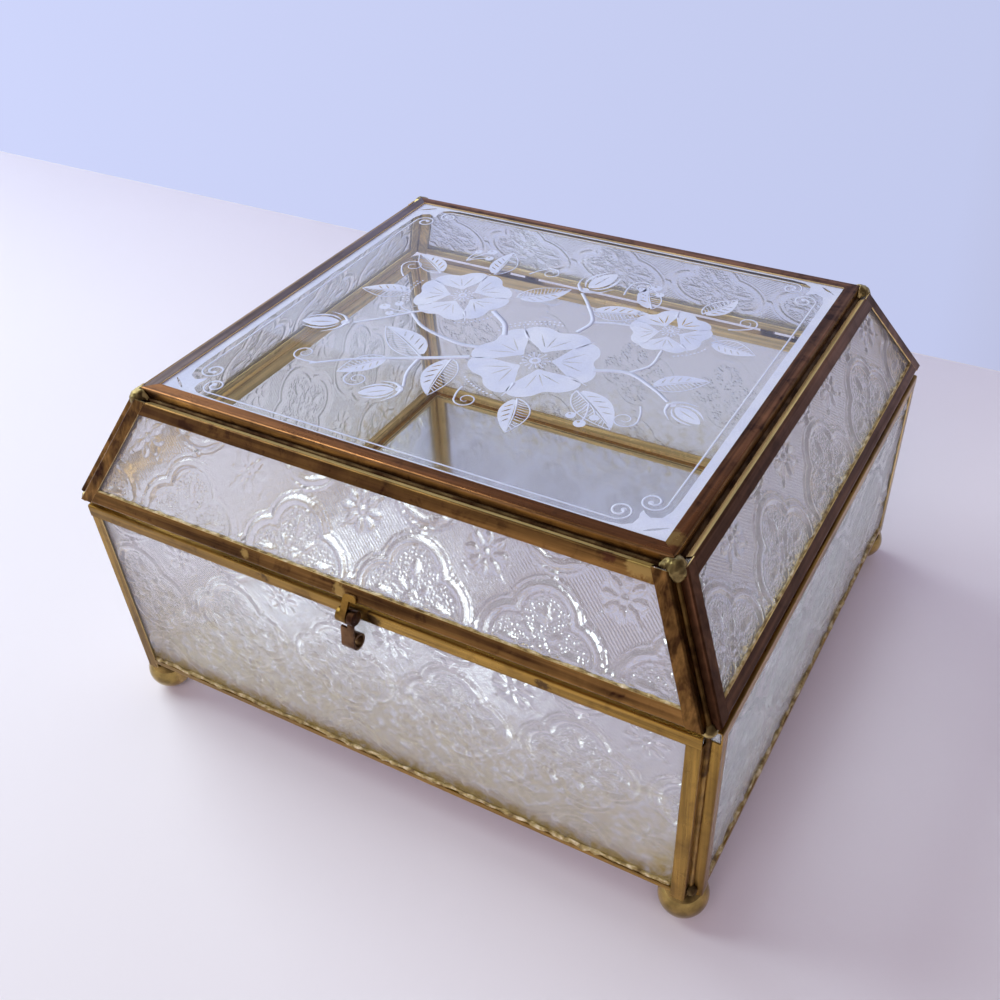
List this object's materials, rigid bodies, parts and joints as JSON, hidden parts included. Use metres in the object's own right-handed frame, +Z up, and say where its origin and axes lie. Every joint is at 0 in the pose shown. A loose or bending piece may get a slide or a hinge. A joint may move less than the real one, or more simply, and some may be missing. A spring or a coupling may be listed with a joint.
{
  "type": "glass casket box",
  "caption": "Keepsake box of framed glass panes with a bevelled hinged lid, a straight-sided base on ball feet, a mirror floor and a front latch.",
  "frame": {"origin": "on the table, at the bottom middle of the whole object's box", "axes": "+X to the box's right, -Y to its front where the latch is, +Z up"},
  "size_m": [0.1736, 0.1618, 0.0975],
  "materials": {
    "came_brass": "folded brass strip, aged brown with brighter rubbed faces",
    "fitting_brass": "dark aged brass latch and hinge fittings",
    "ball_brass": "turned brass ball, smooth, lightly tarnished",
    "solder": "lumpy dull solder with brass staining",
    "clear_glass": "clear flat glass with a white etched border and floral drawing",
    "textured_glass": "pressed glass with a raised pattern of lobed medallions and daisies",
    "mirror": "silvered mirror"
  },
  "bodies": {
    "base": {"base_glass_front": "textured_glass", "base_glass_right": "textured_glass", "base_glass_back": "textured_glass", "base_glass_left": "textured_glass", "base_came_front_right": "came_brass", "base_came_front_top": "came_brass", "base_came_front_left": "came_brass", "base_came_right_right": "came_brass", "base_came_right_top": "came_brass", "base_came_right_left": "came_brass", "base_came_back_right": "came_brass", "base_came_back_top": "came_brass", "base_came_back_left": "came_brass", "base_came_left_right": "came_brass", "base_came_left_top": "came_brass", "base_came_left_left": "came_brass", "base_sill_front": "came_brass", "base_sill_right": "came_brass", "base_sill_back": "came_brass", "base_sill_left": "came_brass", "floor_came_front": "came_brass", "floor_came_right": "came_brass", "floor_came_back": "came_brass", "floor_came_left": "came_brass", "floor_mirror": "mirror", "base_solder": "solder", "ball_feet": "ball_brass", "hinge_base_leaves": "fitting_brass", "hinge_pins": "fitting_brass"},
    "lid": {"lid_top_glass": "clear_glass", "lid_top_came_front": "came_brass", "lid_top_came_right": "came_brass", "lid_top_came_back": "came_brass", "lid_top_came_left": "came_brass", "lid_glass_front": "textured_glass", "lid_glass_right": "textured_glass", "lid_glass_back": "textured_glass", "lid_glass_left": "textured_glass", "lid_came_front_bottom": "came_brass", "lid_came_front_right": "came_brass", "lid_came_front_top": "came_brass", "lid_came_front_left": "came_brass", "lid_came_right_bottom": "came_brass", "lid_came_right_right": "came_brass", "lid_came_right_top": "came_brass", "lid_came_right_left": "came_brass", "lid_came_back_bottom": "came_brass", "lid_came_back_right": "came_brass", "lid_came_back_top": "came_brass", "lid_came_back_left": "came_brass", "lid_came_left_bottom": "came_brass", "lid_came_left_right": "came_brass", "lid_came_left_top": "came_brass", "lid_came_left_left": "came_brass", "lid_solder": "solder", "hinge_lid_leaves": "fitting_brass", "latch_bracket": "fitting_brass", "latch_pin": "fitting_brass"},
    "tongue": {"latch_tongue": "fitting_brass"}
  },
  "joints": [
    {"name": "lid_hinge", "type": "hinge", "parent": "base", "child": "lid", "pos_m": [0, 0.07928, 0.07001], "axis": [-1, 0, 0], "range_deg": [0, 105]},
    {"name": "latch_hinge", "type": "hinge", "parent": "lid", "child": "tongue", "pos_m": [0, -0.07843, 0.066], "axis": [-1, 0, 0], "range_deg": [0, 100]}
  ]
}
